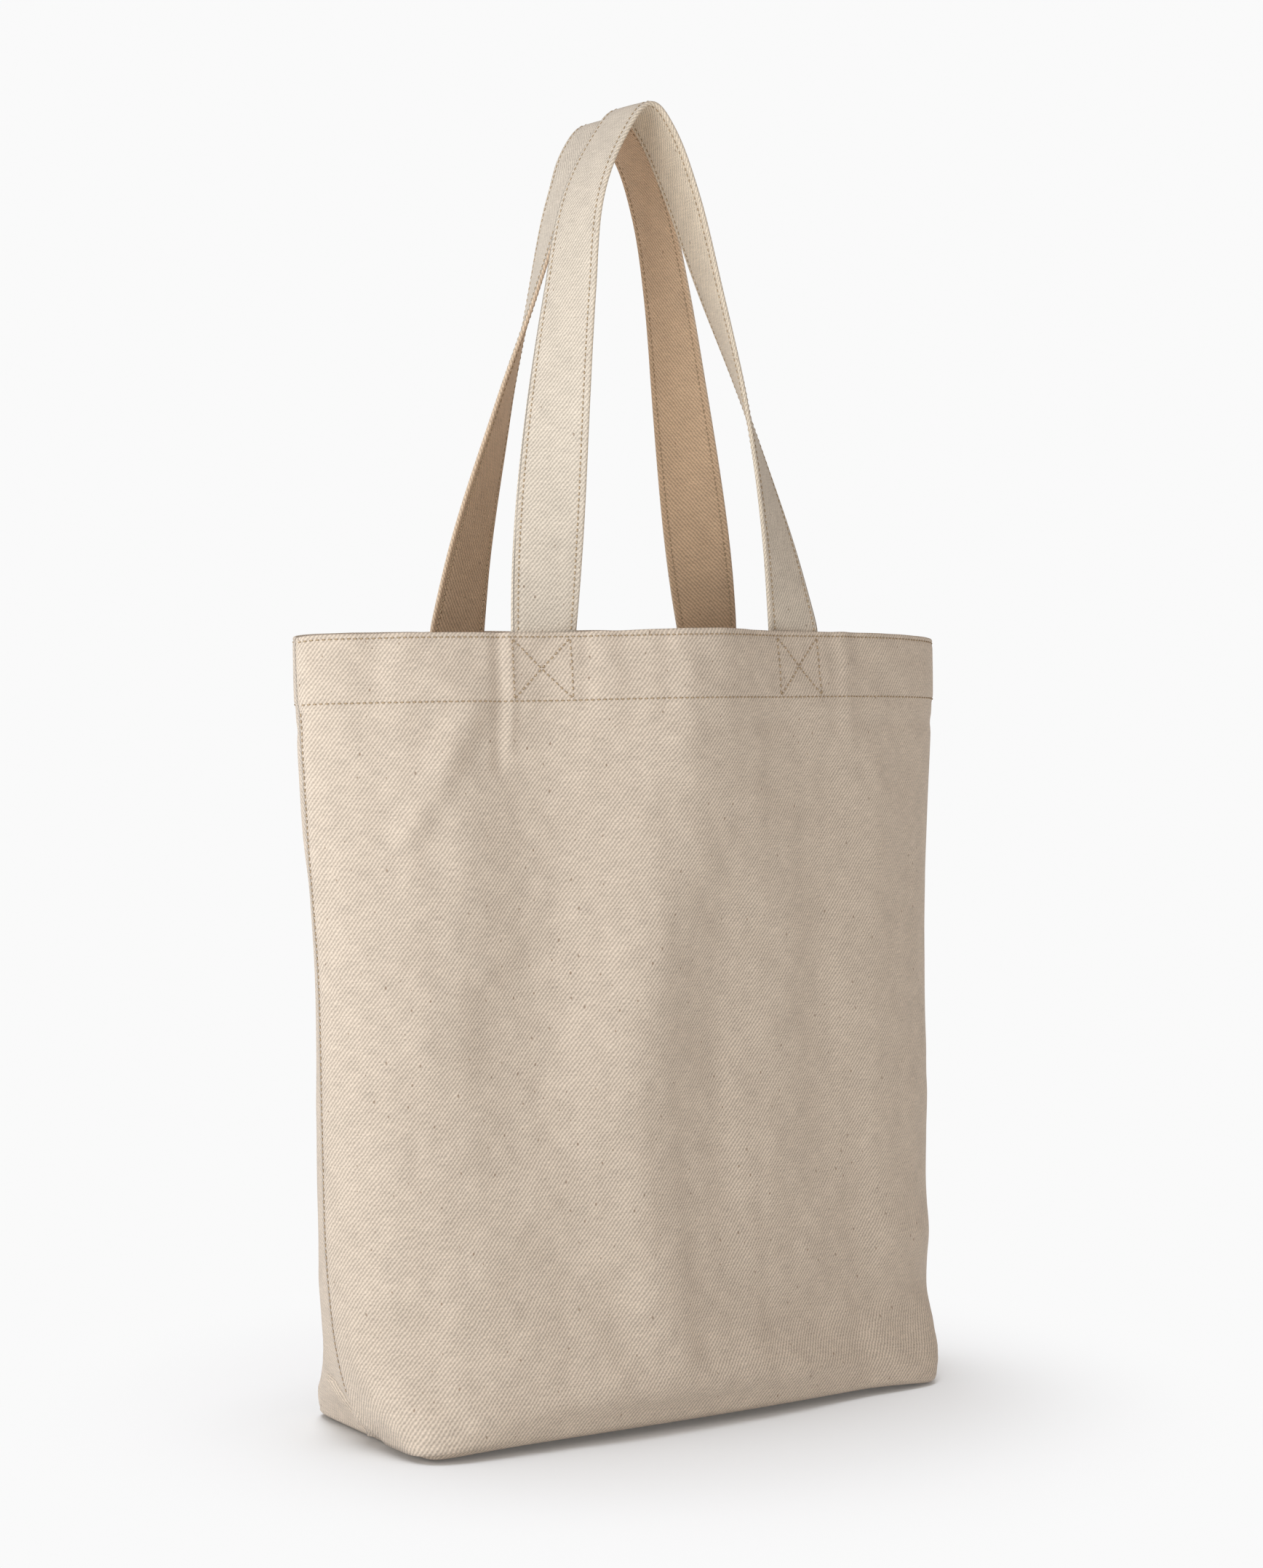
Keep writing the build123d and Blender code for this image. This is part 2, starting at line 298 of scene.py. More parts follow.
def section_sizes(height):
    """Half width, half depth, squareness and sideways slip of the body at a height."""
    z = height / MM
    columns = [hermite(z, BODY_SECTIONS[:, 0], BODY_SECTIONS[:, k]) for k in (1, 2, 3, 4)]
    return columns[0] * MM, columns[1] * MM, columns[2], columns[3] * MM


def wall_depth(x, height, inset=0.0):
    """Distance of the wall from the middle plane."""
    half_width, half_depth, squareness, slip = section_sizes(height)
    share = np.clip(abs(x - slip) / (half_width - inset), 0, 1)
    return (half_depth - inset) * (1 - share**squareness) ** (1 / squareness)


def half_section(height, count):
    """Evenly spaced points along one half of a level section, left to right, with y positive."""
    half_width, half_depth, squareness, slip = section_sizes(height)
    angle = pi / 2 * (1 - np.cos(np.linspace(0, pi, SECTION_SAMPLES)))
    across = np.abs(np.cos(angle)) ** (2 / squareness) * np.sign(np.cos(angle))
    out = np.abs(np.sin(angle)) ** (2 / squareness)
    dense = np.stack([slip - across * half_width, out * half_depth], axis=1)
    along = lengths_along(dense)
    return sampled(dense, along, np.linspace(0, along[-1], count)), along[-1]


def new_mesh(name, points, faces, flat=None, tone=None):
    """A smooth mesh object, with cloth coordinates and a tone on its points if given."""
    mesh = bpy.data.meshes.new(name)
    mesh.from_pydata([tuple(p) for p in points], [], [tuple(int(i) for i in f) for f in faces])
    mesh.update()
    mesh.polygons.foreach_set("use_smooth", [True] * len(mesh.polygons))
    if flat is not None:
        loops = np.empty(len(mesh.loops), int)
        mesh.loops.foreach_get("vertex_index", loops)
        layer = mesh.uv_layers.new(name="cloth")
        layer.data.foreach_set("uv", np.asarray(flat, float)[loops].ravel())
    if tone is not None:
        attribute = mesh.attributes.new("tone", "FLOAT", "POINT")
        attribute.data.foreach_set("value", np.asarray(tone, np.float32))
    piece = bpy.data.objects.new(name, mesh)
    bpy.context.collection.objects.link(piece)
    return piece


def bell(distance, width):
    """One at no distance, fading smoothly to nothing over a few widths."""
    return np.exp(-((distance / width) ** 2))


def lengths_along(line):
    """How far each point of a line lies from its start, measured along it."""
    gaps = np.linalg.norm(np.diff(line, axis=0), axis=1)
    return np.concatenate([[0], np.cumsum(gaps)])


def between(field, rows, columns):
    """The value of a grid's field at places between its rows and columns."""
    row = np.clip(rows.astype(int), 0, field.shape[0] - 2)
    column = np.clip(columns.astype(int), 0, field.shape[1] - 2)
    up = (rows - row)[..., None]
    along = (columns - column)[..., None]
    low = field[row, column] * (1 - along) + field[row, column + 1] * along
    high = field[row + 1, column] * (1 - along) + field[row + 1, column + 1] * along
    return low * (1 - up) + high * up


def sampled(field, along, wanted):
    """Rows of a field, known at some lengths along a line, at other lengths."""
    return np.stack([np.interp(wanted, along, column) for column in field.T], axis=1)


def grid_faces(rows, columns, start=0, flip=False, wrap=False):
    """Quads of a grid of points, row by row; wrap joins the last column to the first."""
    r = np.arange(rows - 1)[:, None]
    c = np.arange(columns if wrap else columns - 1)[None, :]
    after = (c + 1) % columns
    a, b = r * columns + c, r * columns + after
    d, e = (r + 1) * columns + c, (r + 1) * columns + after
    quads = np.stack([a, b, e, d], axis=-1).reshape(-1, 4) + start
    return quads[:, ::-1] if flip else quads


def grid_normals(grid):
    """Unit normals of a grid of points, from its rows and columns."""
    down = np.gradient(grid, axis=0)
    along = np.gradient(grid, axis=1)
    return unit(np.cross(along, down))


# -------------------- panels


class Panel:
    """One panel's outer surface: from the base seam up the wall, over the mouth and down inside.

    The grid's rows run from the base seam to the end of the hem, its columns from the left side
    seam to the right one.
    """

    def __init__(self, name):
        self.name = name
        self.side = SIDES[name]
        _, self.width = half_section(WIDTH_HEIGHT, 2)
        self.columns = int(round(self.width / COLUMN_STEP)) | 1
        foot = self.base_rows() + self.base_edge_rows()
        wall = self.wall_rows()
        rows = foot + wall + self.fold_rows() + self.turned_rows()
        self.wall_start = len(foot)
        self.wall_end = len(foot) + len(wall)
        self.plan = np.array([points for points, height in rows])
        self.heights = np.array([height for points, height in rows])
        self.wall_heights = self.heights[self.wall_start:self.wall_end]
        self.bulge_foot()
        self.grid = np.zeros((len(rows), self.columns, 3))
        self.grid[:, :, 0] = self.plan[:, :, 0]
        self.grid[:, :, 1] = self.side * np.maximum(self.plan[:, :, 1], SEAM_GAP)
        self.grid[:, :, 2] = self.heights[:, None] + self.base_arch()
        self.flat = self.flat_coordinates()

    def section(self, height):
        """The panel's half of a level section, one point to a column."""
        return half_section(height, self.columns)[0]

    def base_rows(self):
        """Half of the base, from the seam along its middle out to its edge."""
        half_width, half_depth, _, slip = section_sizes(0.0)
        middle = (slip, 0)
        rows = []
        for share in np.linspace(1, 0, int(half_depth / BASE_ROW_STEP), endpoint=False):
            shrink = np.array([1 - share * half_depth / half_width, 1 - share])
            inner = (self.section(0.0) - middle) * shrink + middle
            rows.append((self.draw_in(inner, BASE_RADIUS * (1 - share)), 0.0))
        return rows

    def base_edge_rows(self):
        """The rounded edge between the base and the wall."""
        rows = []
        for angle in np.linspace(0, pi / 2, BASE_EDGE_ROWS, endpoint=False):
            height = BASE_RADIUS * (1 - cos(angle))
            inset = BASE_RADIUS * (1 - sin(angle))
            rows.append((self.draw_in(self.section(height), inset), height))
        return rows

    def wall_rows(self):
        """The wall, with finer rows from just below the hem upward."""
        hem_zone = HEM_BOTTOM - HEM_ROW_MARGIN
        low_count = int((hem_zone - BASE_RADIUS) / ROW_STEP)
        high_count = int((FOLD_START - hem_zone) / HEM_ROW_STEP)
        low = np.linspace(BASE_RADIUS, hem_zone, low_count, endpoint=False)
        high = np.linspace(hem_zone, FOLD_START, high_count)
        return [(self.section(height), height) for height in np.concatenate([low, high])]

    def fold_rows(self):
        """The cloth turning over at the mouth."""
        rows = []
        for angle in np.linspace(0, pi, FOLD_ROWS)[1:-1]:
            inset = FOLD_RADIUS * (1 - cos(angle))
            height = FOLD_START + FOLD_RADIUS * sin(angle)
            rows.append((self.draw_in(self.section(FOLD_START), inset), height))
        return rows

    def turned_rows(self):
        """The hem inside the mouth, down to its raw edge."""
        rows = [(self.draw_in(self.section(height), HEM_INSET), height)
                for height in np.linspace(FOLD_START, HEM_BOTTOM, TURNED_ROWS)]
        raw_edge = self.draw_in(self.section(HEM_BOTTOM), HEM_INSET - CANVAS)
        return rows + [(raw_edge, HEM_BOTTOM - RAW_EDGE_DROP)]

    def bulge_foot(self):
        """The load of the cloth pushes the foot of the wall out between its corners."""
        share = np.clip(np.abs(self.plan[:, :, 0] - FOOT_BULGE_MIDDLE) / FOOT_BULGE_REACH, 0, 1)
        tucked = (1 - FOOT_BULGE_AT_FLOOR) * smooth_step(self.heights, 0, 18 * MM)
        reach = (1 - smooth_step(self.heights, 0, FOOT_BULGE_HEIGHT)) * (FOOT_BULGE_AT_FLOOR + tucked)
        self.plan[:, :, 1] *= 1 + FOOT_BULGE[self.name] * (1 - share**2.5) * reach[:, None]

    def base_arch(self):
        """Rise of each point of the foot: the bag stands on its corners, its long edges arch a little."""
        half_width = BODY_SECTIONS[0, 1] * MM
        between = 1 - np.clip(np.abs(self.plan[:, :, 0]) / half_width, 0, 1) ** 6
        outer = smooth_step(self.plan[:, :, 1], 20 * MM, 50 * MM)
        low = 1 - smooth_step(self.heights, 0, BASE_ARCH_HEIGHT)
        return BASE_ARCH[self.name] * between * outer * low[:, None]

    @staticmethod
    def draw_in(points, inset):
        """Level points moved inward, square to their curve."""
        along = unit(np.gradient(points, axis=0))
        inward = np.stack([along[:, 1], -along[:, 0]], axis=1)
        moved = points + inward * inset
        moved[:, 1] = np.maximum(moved[:, 1], 0.0)
        return moved

    def flat_coordinates(self):
        """Where each point lies on the cloth before sewing: across it, and up from the base seam."""
        up = lengths_along(self.grid[:, self.columns // 2])
        across = np.linspace(0, self.width, self.columns)
        return np.stack(np.meshgrid(across, up), axis=-1)

    def shape(self, relief, settled):
        """Moves the wall out by a relief, then by the settled cloth's movement.

        The turned hem moves with the wall it is sewn to.
        """
        first, last = self.wall_start, self.wall_end
        self.normals = grid_normals(self.grid) * self.outward_sign()
        push = self.normals * relief[:, :, None]
        push[first:last] += settled(self)
        beside = np.interp(self.heights[last:], self.wall_heights, np.arange(first, last))
        push[last:] = push[beside.round().astype(int)]
        self.grid = self.grid + push
        self.grid[:, :, 2] -= mouth_droop(self.plan[:, :, 0], self.heights[:, None])
        self.grid[:, :, 1] = self.side * np.maximum(self.side * self.grid[:, :, 1], SEAM_GAP)
        self.grid[:, :, 2] = np.maximum(self.grid[:, :, 2], 0.0)
        self.normals = grid_normals(self.grid) * self.outward_sign()

    def outward_sign(self):
        """Plus or minus one, to turn the grid's normals outward."""
        middle = (self.wall_start + self.wall_end) // 2
        normal = grid_normals(self.grid)[middle, self.columns // 2]
        return 1.0 if normal[1] * self.side > 0 else -1.0

    def at(self, x, height, lift=0.0):
        """Points and outward normals on the finished wall, at places across it and heights."""
        x, height = np.broadcast_arrays(np.asarray(x, float), np.asarray(height, float))
        first, last = self.wall_start, self.wall_end
        rows = np.interp(height, self.wall_heights, np.arange(first, last))
        low = np.clip(np.floor(rows).astype(int), first, last - 2)
        columns = np.empty(x.shape)
        for i in np.ndindex(x.shape):
            columns[i] = np.interp(x[i], self.plan[low[i], :, 0], np.arange(self.columns))
        normals = unit(between(self.normals, rows, columns))
        return between(self.grid, rows, columns) + normals * lift, normals

    def make(self, name):
        """The closed cloth: the outer surface, the inner one a canvas thickness in, and the rims."""
        rows, columns = self.grid.shape[:2]
        inner = self.grid - self.normals * CANVAS
        inner[:, :, 1] = self.side * np.maximum(self.side * inner[:, :, 1], SEAM_GAP)
        points = np.concatenate([self.grid.reshape(-1, 3), inner.reshape(-1, 3)])
        flat = np.concatenate([self.flat.reshape(-1, 2)] * 2)
        count = rows * columns
        flip = self.side < 0
        outer_faces = grid_faces(rows, columns, 0, flip=flip)
        inner_faces = grid_faces(rows, columns, count, flip=not flip)
        index = np.arange(count).reshape(rows, columns)
        loop = np.concatenate([index[0, :], index[1:, -1], index[-1, -2::-1], index[-2:0:-1, 0]])
        after = np.roll(loop, -1)
        rim = np.stack([loop, loop + count, after + count, after], axis=1)
        if flip:
            rim = rim[:, ::-1]
        faces = np.concatenate([outer_faces, inner_faces, rim[:, ::-1]])
        return new_mesh(name, points, faces, flat)


def mouth_droop(x, height):
    """How far the cloth near the mouth hangs down: its two ends sink a little."""
    share = np.clip(x / MOUTH_HALF_WIDTH, -1, 1)
    end = np.where(share < 0, MOUTH_DROOP["left"], MOUTH_DROOP["right"])
    droop = MOUTH_DROOP["middle"] + (end - MOUTH_DROOP["middle"]) * np.abs(share) ** 4
    droop += MOUTH_DROOP["corner"] * np.abs(share) ** 60
    return droop * smooth_step(height, BAG_HEIGHT - MOUTH_DROOP_HEIGHT, BAG_HEIGHT)


def ridge(x, z, fold):
    """The height of one fold along its line, fading out past its ends."""
    line, half_width, height = fold
    line = np.array(line) * MM
    nearest = np.full(np.shape(x), np.inf)
    for start, end in zip(line[:-1], line[1:]):
        way = end - start
        share = ((x - start[0]) * way[0] + (z - start[1]) * way[1]) / (way @ way)
        share = np.clip(share, 0, 1)
        distance = np.hypot(x - start[0] - share * way[0], z - start[1] - share * way[1])
        nearest = np.minimum(nearest, distance)
    return height * MM * bell(nearest, half_width * MM)


def crumple(x, z):
    """The small uneven waves of handled canvas, a fraction of a millimetre high."""
    waves = np.zeros(np.shape(x))
    random = np.random.default_rng(CRUMPLE_SEED)
    for length, height in CRUMPLE_WAVES:
        for _ in range(CRUMPLE_COUNT):
            heading = random.uniform(0, 2 * pi)
            phase = random.uniform(0, 2 * pi)
            stretch = random.uniform(0.8, 1.25)
            way = (x * cos(heading) + z * sin(heading)) * 2 * pi / (length * stretch * MM)
            meander = CRUMPLE_MEANDER * np.sin(way * 0.37 + phase)
            waves += height * np.sin(way + phase + meander)
    return waves


def panel_relief(panel):
    """How far each point of a panel's wall stands out: folds, creases, seams and the hem's step."""
    x = panel.plan[:, :, 0]
    z = np.broadcast_to(panel.heights[:, None], x.shape)
    from_seam = np.minimum(panel.flat[:, :, 0], panel.width - panel.flat[:, :, 0])
    relief = HEM_STEP * smooth_step(z, HEM_BOTTOM - 1.2 * MM, HEM_BOTTOM + 0.6 * MM)
    clear_of_seam = smooth_step(from_seam, 0, 5 * MM)
    for fold in FOLDS[panel.name]:
        relief += ridge(x, z, fold) * clear_of_seam
    relief += crumple(x, z) * smooth_step(z, 0, 30 * MM) * smooth_step(from_seam, 0, 60 * MM)
    relief += SEAM_RISE * bell(from_seam - SEAM_RISE_PLACE, SEAM_RISE_WIDTH)
    relief -= SEAM_DIP * bell(from_seam, SEAM_DIP_WIDTH)
    for crease in CORNER_CREASES:
        relief += ridge(-panel.side * from_seam, z, crease)
    for height in (HEM_STITCH_HEIGHT, EDGE_STITCH_HEIGHT):
        relief -= STITCH_DIP * bell(z - height, STITCH_DIP_WIDTH)
    relief[:panel.wall_start] = 0
    relief[panel.wall_end:] = 0
    return relief


# -------------------- settling the cloth


class SettledWalls:
    """The walls of both panels as one coarse cloth, settled under its own weight by Blender.

    The hem and the base edge hold it; the slack in the cloth between them makes the soft waves.
    """

    def __init__(self):
        self.heights = np.linspace(BASE_RADIUS, HEM_BOTTOM + 4 * MM, SETTLE_ROWS)
        around = 2 * SETTLE_COLUMNS
        grid = np.zeros((SETTLE_ROWS, around, 3))
        for row, height in enumerate(self.heights):
            half, _ = half_section(height, SETTLE_COLUMNS + 1)
            grid[row, :SETTLE_COLUMNS, :2] = half[:-1] * (1, -1)
            grid[row, SETTLE_COLUMNS:, :2] = half[::-1][:-1]
            grid[row, :, 2] = height
        self.moved = self.settle(grid) - grid

    def settle(self, grid):
        """The grid's points after Blender's cloth has settled."""
        rows, around = grid.shape[:2]
        cloth = new_mesh("settling_cloth", grid.reshape(-1, 3), grid_faces(rows, around, wrap=True))
        hold = cloth.vertex_groups.new(name="hold")
        share = np.linspace(0, 1, rows)
        strength = np.maximum(1 - smooth_step(share, 0, 0.05), smooth_step(share, 0.94, 1))
        for row in range(rows):
            hold.add(list(range(row * around, (row + 1) * around)), float(strength[row]), "REPLACE")
        configure(cloth.modifiers.new("cloth", "CLOTH").settings, **SETTLE_PHYSICS)
        scene = bpy.context.scene
        scene.frame_start = 1
        scene.frame_end = SETTLE_FRAMES
        for step in range(1, SETTLE_FRAMES + 1):
            scene.frame_set(step)
        settled = cloth.evaluated_get(bpy.context.evaluated_depsgraph_get()).to_mesh()
        points = np.empty(rows * around * 3)
        settled.vertices.foreach_get("co", points)
        points = points.reshape(rows, around, 3)
        bpy.data.objects.remove(cloth)
        scene.frame_set(1)
        return points

    def __call__(self, panel):
        """How far each point of a panel's wall rows moved."""
        half = SETTLE_COLUMNS
        if panel.side < 0:
            field = self.moved[:, : half + 1]
        else:
            field = np.concatenate([self.moved[:, half:], self.moved[:, :1]], axis=1)[:, ::-1]
        rows = np.interp(panel.wall_heights, self.heights, np.arange(SETTLE_ROWS))
        columns = np.linspace(0, half, panel.columns)
        fade = 1 - smooth_step(panel.wall_heights, HEM_BOTTOM - 12 * MM, HEM_BOTTOM)
        return between(field, rows[:, None], columns[None, :]) * fade[:, None, None]


# -------------------- straps


def strap_x(end_side):
    """Where a strap's end is sewn, across the bag."""
    return STRAP_SHIFT + end_side * STRAP_SPACING / 2


def loop_line(panel):
    """The strap's middle line from its left end in the hem, over the loop, to its right end."""

    def end_depth(foot, heights):
        """How far from the middle plane the strap lies, behind the wall."""
        points, _ = panel.at(np.full(len(heights), foot), np.minimum(heights, FOLD_START))
        return np.abs(points[:, 1]) - STRAP_INSET

    points = np.array(LOOPS[panel.name]) * MM
    along = lengths_along(points)
    dense = np.linspace(0, along[-1], 400)
    x, rise = (hermite(dense, along, points[:, k]) for k in (0, 1))
    apex_depth = STRAP_WIDTH / 2
    left_depth, right_depth = (end_depth(foot, np.array([BAG_HEIGHT])) for foot in points[[0, -1], 0])
    foot_depth = np.where(x < 0, left_depth, right_depth)
    depth = foot_depth + (apex_depth - foot_depth) * rise / rise.max()
    if panel.name == "back":
        tucked = smooth_step(rise, *BACK_STRAP_TUCK_STARTS) * (1 - smooth_step(rise, *BACK_STRAP_TUCK_ENDS))
        depth = depth - BACK_STRAP_TUCK * tucked * (x < 0)
    loop = np.stack([x, panel.side * depth, BAG_HEIGHT + rise], axis=1)
    ends = []
    for foot in (points[0, 0], points[-1, 0]):
        heights = np.linspace(STRAP_END_BOTTOM, BAG_HEIGHT, 14)[:-1]
        depth = end_depth(foot, heights)
        ends.append(np.stack([np.full(len(heights), foot), panel.side * depth, heights], axis=1))
    line = np.concatenate([ends[0], loop, ends[1][::-1]])
    return resample(line, STRAP_STEP)


def resample(line, step, rounds=5):
    """Evenly spaced points along a line, with its corners eased."""
    for _ in range(rounds):
        along = lengths_along(line)
        wanted = np.linspace(0, along[-1], max(2, int(round(along[-1] / step)) + 1))
        line = sampled(line, along, wanted)
        line[1:-1] = (line[:-2] + 2 * line[1:-1] + line[2:]) / 4
    return line


def strap_frames(line, name):
    """All along the strap: the way across it, its outward normal, and the length so far."""
    side = SIDES[name]
    ahead = unit(np.gradient(line, axis=0))
    along = lengths_along(line)
    above_mouth = along[line[:, 2] >= BAG_HEIGHT]
    first, last = above_mouth[0], above_mouth[-1]
    from_foot = 1 - np.abs(1 - 2 * np.clip((along - first) / (last - first), 0, 1))
    step = 1 * MM
    x = strap_x(1)
    fall = wall_depth(x - step, BAG_HEIGHT) - wall_depth(x + step, BAG_HEIGHT)
    foot_turn = np.arctan2(fall, 2 * step)
    left_leg = along < (first + last) / 2
    turning = np.where(left_leg, *TURNING[name])
    turn = pi / 2 - (pi / 2 - foot_turn) * (1 - from_foot) ** turning
    normal = np.array([0.0, side, 0.0])
    normal = unit(normal - ahead * (ahead @ normal)[:, None])
    level = np.cross(ahead, normal) * -side
    across = level * np.cos(turn)[:, None] + normal * np.sin(turn)[:, None]
    outward = np.cross(across, ahead)
    sign = np.sign(outward[:, 1].mean() * side)
    return across, outward * sign, along


def strap_profile():
    """The folded strap's cross-section: how far across it and out from its middle."""
    half_thick = STRAP_THICKNESS / 2
    edge = STRAP_HALF_WIDTH - half_thick
    across = np.linspace(-edge, edge, 23)
    stitch_place = STRAP_HALF_WIDTH - STRAP_STITCH_INSET
    groove = STRAP_GROOVE * bell(np.abs(across) - stitch_place, STITCH_DIP_WIDTH)
    crown = STRAP_CROWN * (1 - (across / edge) ** 2)
    out = half_thick - STRAP_FLATTENING + crown - groove
    angles = np.linspace(pi / 2, -pi / 2, 7)[1:-1]
    round_x = edge + half_thick * np.cos(angles)
    round_y = (half_thick - STRAP_FLATTENING) * np.sin(angles)
    xs = np.concatenate([across, round_x, across[::-1], -round_x])
    ys = np.concatenate([out, round_y, -out[::-1], -round_y])
    return xs, ys


def make_strap(panel):
    """One handle: a single strip from end to end, with its quarter turns.

    Its tone, the share of painted shade and warm bounce light, is one on the inside of the loop, and nearly
    that along its edges.
    """
    line = loop_line(panel)
    across, outward, along = strap_frames(line, panel.name)
    xs, ys = strap_profile()
    grid = line[:, None] + across[:, None] * xs[None, :, None] + outward[:, None] * ys[None, :, None]
    rows, columns = grid.shape[:2]
    points = grid.reshape(-1, 3)
    faces = [list(f) for f in grid_faces(rows, columns, wrap=True)]
    faces.append(list(range(columns))[::-1])
    faces.append(list(range((rows - 1) * columns, rows * columns)))
    girth = np.cumsum(np.hypot(np.diff(xs, prepend=xs[-1]), np.diff(ys, prepend=ys[-1])))
    flat = np.stack(np.meshgrid(girth, along), axis=-1)
    # Painted light: the loop's inside takes all of the inner colour's painted shade and bounce light, its
    # edges most of it
    edge = smooth_step(np.abs(xs), STRAP_HALF_WIDTH - 0.7 * MM, STRAP_HALF_WIDTH - 0.2 * MM)
    inside = smooth_step(-ys, 0, STRAP_THICKNESS / 3)
    tone = np.tile(np.maximum(inside, STRAP_EDGE_PAINTED_LIGHT * edge), rows)
    strap = new_mesh(f"{panel.name}_strap", points, faces, flat.reshape(-1, 2), tone)
    return strap, (line, across, outward)


# -------------------- stitches


def stitch_row(points, normals):
    """Single stitches along a line on a surface: (points, faces, tone) of one mesh.

    Each stitch is a short thread that dives at both ends, where its tone paints the shade of the needle
    holes.
    """
    along = lengths_along(points)
    count = max(1, int(along[-1] / STITCH_PITCH))
    middles = (np.arange(count) + 0.5) * along[-1] / count
    rings = np.linspace(-1, 1, THREAD_RINGS)
    around = np.linspace(0, 2 * pi, THREAD_SIDES, endpoint=False)
    nudge = 0.2 * MM
    vertices, hole_shades = [], []
    for t in rings:
        where = np.clip(middles + t * STITCH_LENGTH / 2, 0, along[-1])
        centre = sampled(points, along, where)
        normal = unit(sampled(normals, along, where))
        after = sampled(points, along, np.minimum(where + nudge, along[-1]))
        before = sampled(points, along, np.maximum(where - nudge, 0))
        side_way = unit(np.cross(unit(after - before), normal))
        thick = THREAD_RADIUS * sqrt(max(0.08, 1 - abs(t) ** 5))
        rise = THREAD_RADIUS * (0.75 * (1 - abs(t) ** 3) - 0.7 * abs(t) ** 4)
        for a in around:
            vertices.append(centre + normal * (rise + thick * sin(a) * 0.8) + side_way * thick * cos(a))
            # Painted shade, growing towards the thread's ends where it dives
            hole_shades.append(np.full(count, abs(t) ** 2))
    vertices = np.stack(vertices, axis=1)
    hole_shades = np.stack(hole_shades, axis=1)
    size = THREAD_RINGS * THREAD_SIDES
    sides = grid_faces(THREAD_RINGS, THREAD_SIDES, wrap=True)
    caps = [list(range(THREAD_SIDES))[::-1], list(range(size - THREAD_SIDES, size))]
    faces = []
    for first in range(0, count * size, size):
        faces += [list(face + first) for face in sides]
        faces += [[corner + first for corner in cap] for cap in caps]
    return vertices.reshape(-1, 3), faces, hole_shades.ravel()


def make_stitching(name, rows):
    """One piece from rows of stitches."""
    faces = []
    start = 0
    for points, row_faces, _ in rows:
        faces += [[corner + start for corner in face] for face in row_faces]
        start += len(points)
    points = np.concatenate([row[0] for row in rows])
    hole_shades = np.concatenate([row[2] for row in rows])
    return new_mesh(name, points, faces, tone=hole_shades)


def mouth_rows(panels, height):
    """Stitching right round the mouth at a height, but for the side seams themselves."""
    rows = []
    for panel in panels.values():
        half_width, _, _, slip = section_sizes(height)
        line, _ = half_section(height, 400)
        inside = np.abs(line[:, 0] - slip) < half_width - MOUTH_ROW_MARGIN
        rows.append(stitch_row(*panel.at(line[inside, 0], height, STITCH_LIFT)))
    return rows


def side_row(panel, end_side):
    """Top stitching beside a side seam, from just above the base up to the hem."""
    first = panel.wall_start + np.searchsorted(panel.wall_heights, SIDE_STITCH_BOTTOM)
    column = int(round(SIDE_STITCH_OFFSET / COLUMN_STEP))
    column = column if end_side < 0 else panel.columns - 1 - column
    last = panel.wall_start + np.searchsorted(panel.wall_heights, HEM_BOTTOM - 2 * MM)
    normals = panel.normals[first:last, column]
    return stitch_row(panel.grid[first:last, column] + normals * STITCH_LIFT, normals)


def cross_rows(panel, end_side):
    """The sides and the cross of the box of stitches that holds one strap end."""
    low = HEM_STITCH_HEIGHT + CROSS_MARGIN
    high = EDGE_STITCH_HEIGHT - CROSS_MARGIN
    left = strap_x(end_side) - CROSS_WIDTH / 2
    right = left + CROSS_WIDTH
    runs = [((left, low), (left, high)), ((right, high), (right, low)),
            ((left, high), (right, low)), ((left, low), (right, high))]
    rows = []
    for start, end in runs:
        xs = np.linspace(start[0], end[0], 30)
        zs = np.linspace(start[1], end[1], 30)
        rows.append(stitch_row(*panel.at(xs, zs, STITCH_LIFT)))
    return rows


def strap_rows(line, across, outward):
    """Topstitching along both edges of a strap, on both of its faces."""
    rows = []
    place = STRAP_HALF_WIDTH - STRAP_STITCH_INSET
    rise = STRAP_THICKNESS / 2 - STRAP_STITCH_SINK
    for edge in (-1, 1):
        for face in (-1, 1):
            points = line + across * edge * place + outward * face * rise
            rows.append(stitch_row(points, outward * face))
    return rows


# -------------------- materials


def srgb(r, g, b):
    """Linear colour from the usual 0 to 255 numbers."""
    return tuple(((c / 255 + 0.055) / 1.055) ** 2.4 for c in (r, g, b))


CANVAS_COLOUR = srgb(196, 180, 162)
STRAP_COLOUR = srgb(197, 184, 167)
# The inside of each loop has painted light: painted shade on the back handle, warm painted bounce light on
# the front one
STRAP_INSIDE_PAINTED_LIGHT = {"front": srgb(206, 190, 168), "back": srgb(196, 166, 135)}
THREAD_COLOUR = srgb(180, 157, 126)
# Painted shade of the needle holes, at both ends of each stitch
HOLE_PAINTED_SHADE = srgb(74, 52, 34)
FLECK_COLOUR = srgb(110, 82, 56)

# The weave: spacing of its ribs, the rib's share against the crossing set, and how much it shades
TWILL_ACROSS = 1.95 * MM
TWILL_UP = 2.5 * MM
RIB_SHARE = 0.78
WEAVE_CONTRAST = 0.28
WEAVE_WOBBLE = 4.5
CANVAS_BUMP = 0.06 * MM

# Noise over the cloth: how many patches to the metre, and how strongly each kind shades
WOBBLE_SCALE = 260
PATCH_SCALE = 90
PATCH_CONTRAST = 0.24
SLUB_SCALE = (120, 1500)
SLUB_CONTRAST = 0.34
FLECK_SCALE = (150, 100)
FLECK_TURN = 0.5
FLECK_SIZE = 0.08
FLECK_STRENGTH = 0.55
FUZZ_SCALE = 900
THREAD_BUMP = 0.08 * MM


